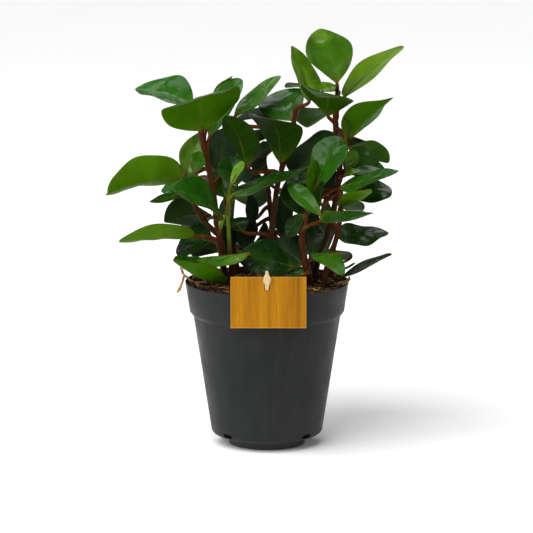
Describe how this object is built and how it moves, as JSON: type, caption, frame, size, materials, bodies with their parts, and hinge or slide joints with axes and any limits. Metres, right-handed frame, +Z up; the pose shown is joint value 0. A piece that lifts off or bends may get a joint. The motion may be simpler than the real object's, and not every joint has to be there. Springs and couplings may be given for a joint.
{
  "type": "potted peperomia",
  "caption": "Bushy peperomia with glossy oval leaves on red-brown stems, in a tapered grey nursery pot of soil, with a bare hanging card on a wooden peg at the front rim.",
  "frame": {"origin": "centre of the underside of the pot's foot, on the surface it stands on", "axes": "+Z up along the pot's axis; -Y is the front, where the card hangs; +X is to the right seen from the front"},
  "size_m": [0.2143, 0.1585, 0.3037],
  "materials": {
    "pot": "injection moulded, dark charcoal grey, low satin sheen",
    "soil": "crumbly dark brown peat with tan coir fibres, fully matt",
    "plant": "thick leaves, glossy dark green above and matt olive green below, on red-brown stalks",
    "card": "thin card with a plain ochre wood-look print and no words",
    "stake": "pale raw birch, smooth"
  },
  "bodies": {
    "root": {"pot": "pot", "soil": "soil", "leafy_stem_left": "plant", "leafy_stem_shoot": "plant", "leafy_stem_centre": "plant", "leafy_stem_front": "plant", "leafy_stem_tall": "plant", "leafy_stem_low": "plant", "leafy_stem_back_left": "plant", "leafy_stem_back_centre": "plant", "leafy_stem_back_right": "plant", "label_card": "card", "label_stake": "stake"}
  },
  "joints": []
}
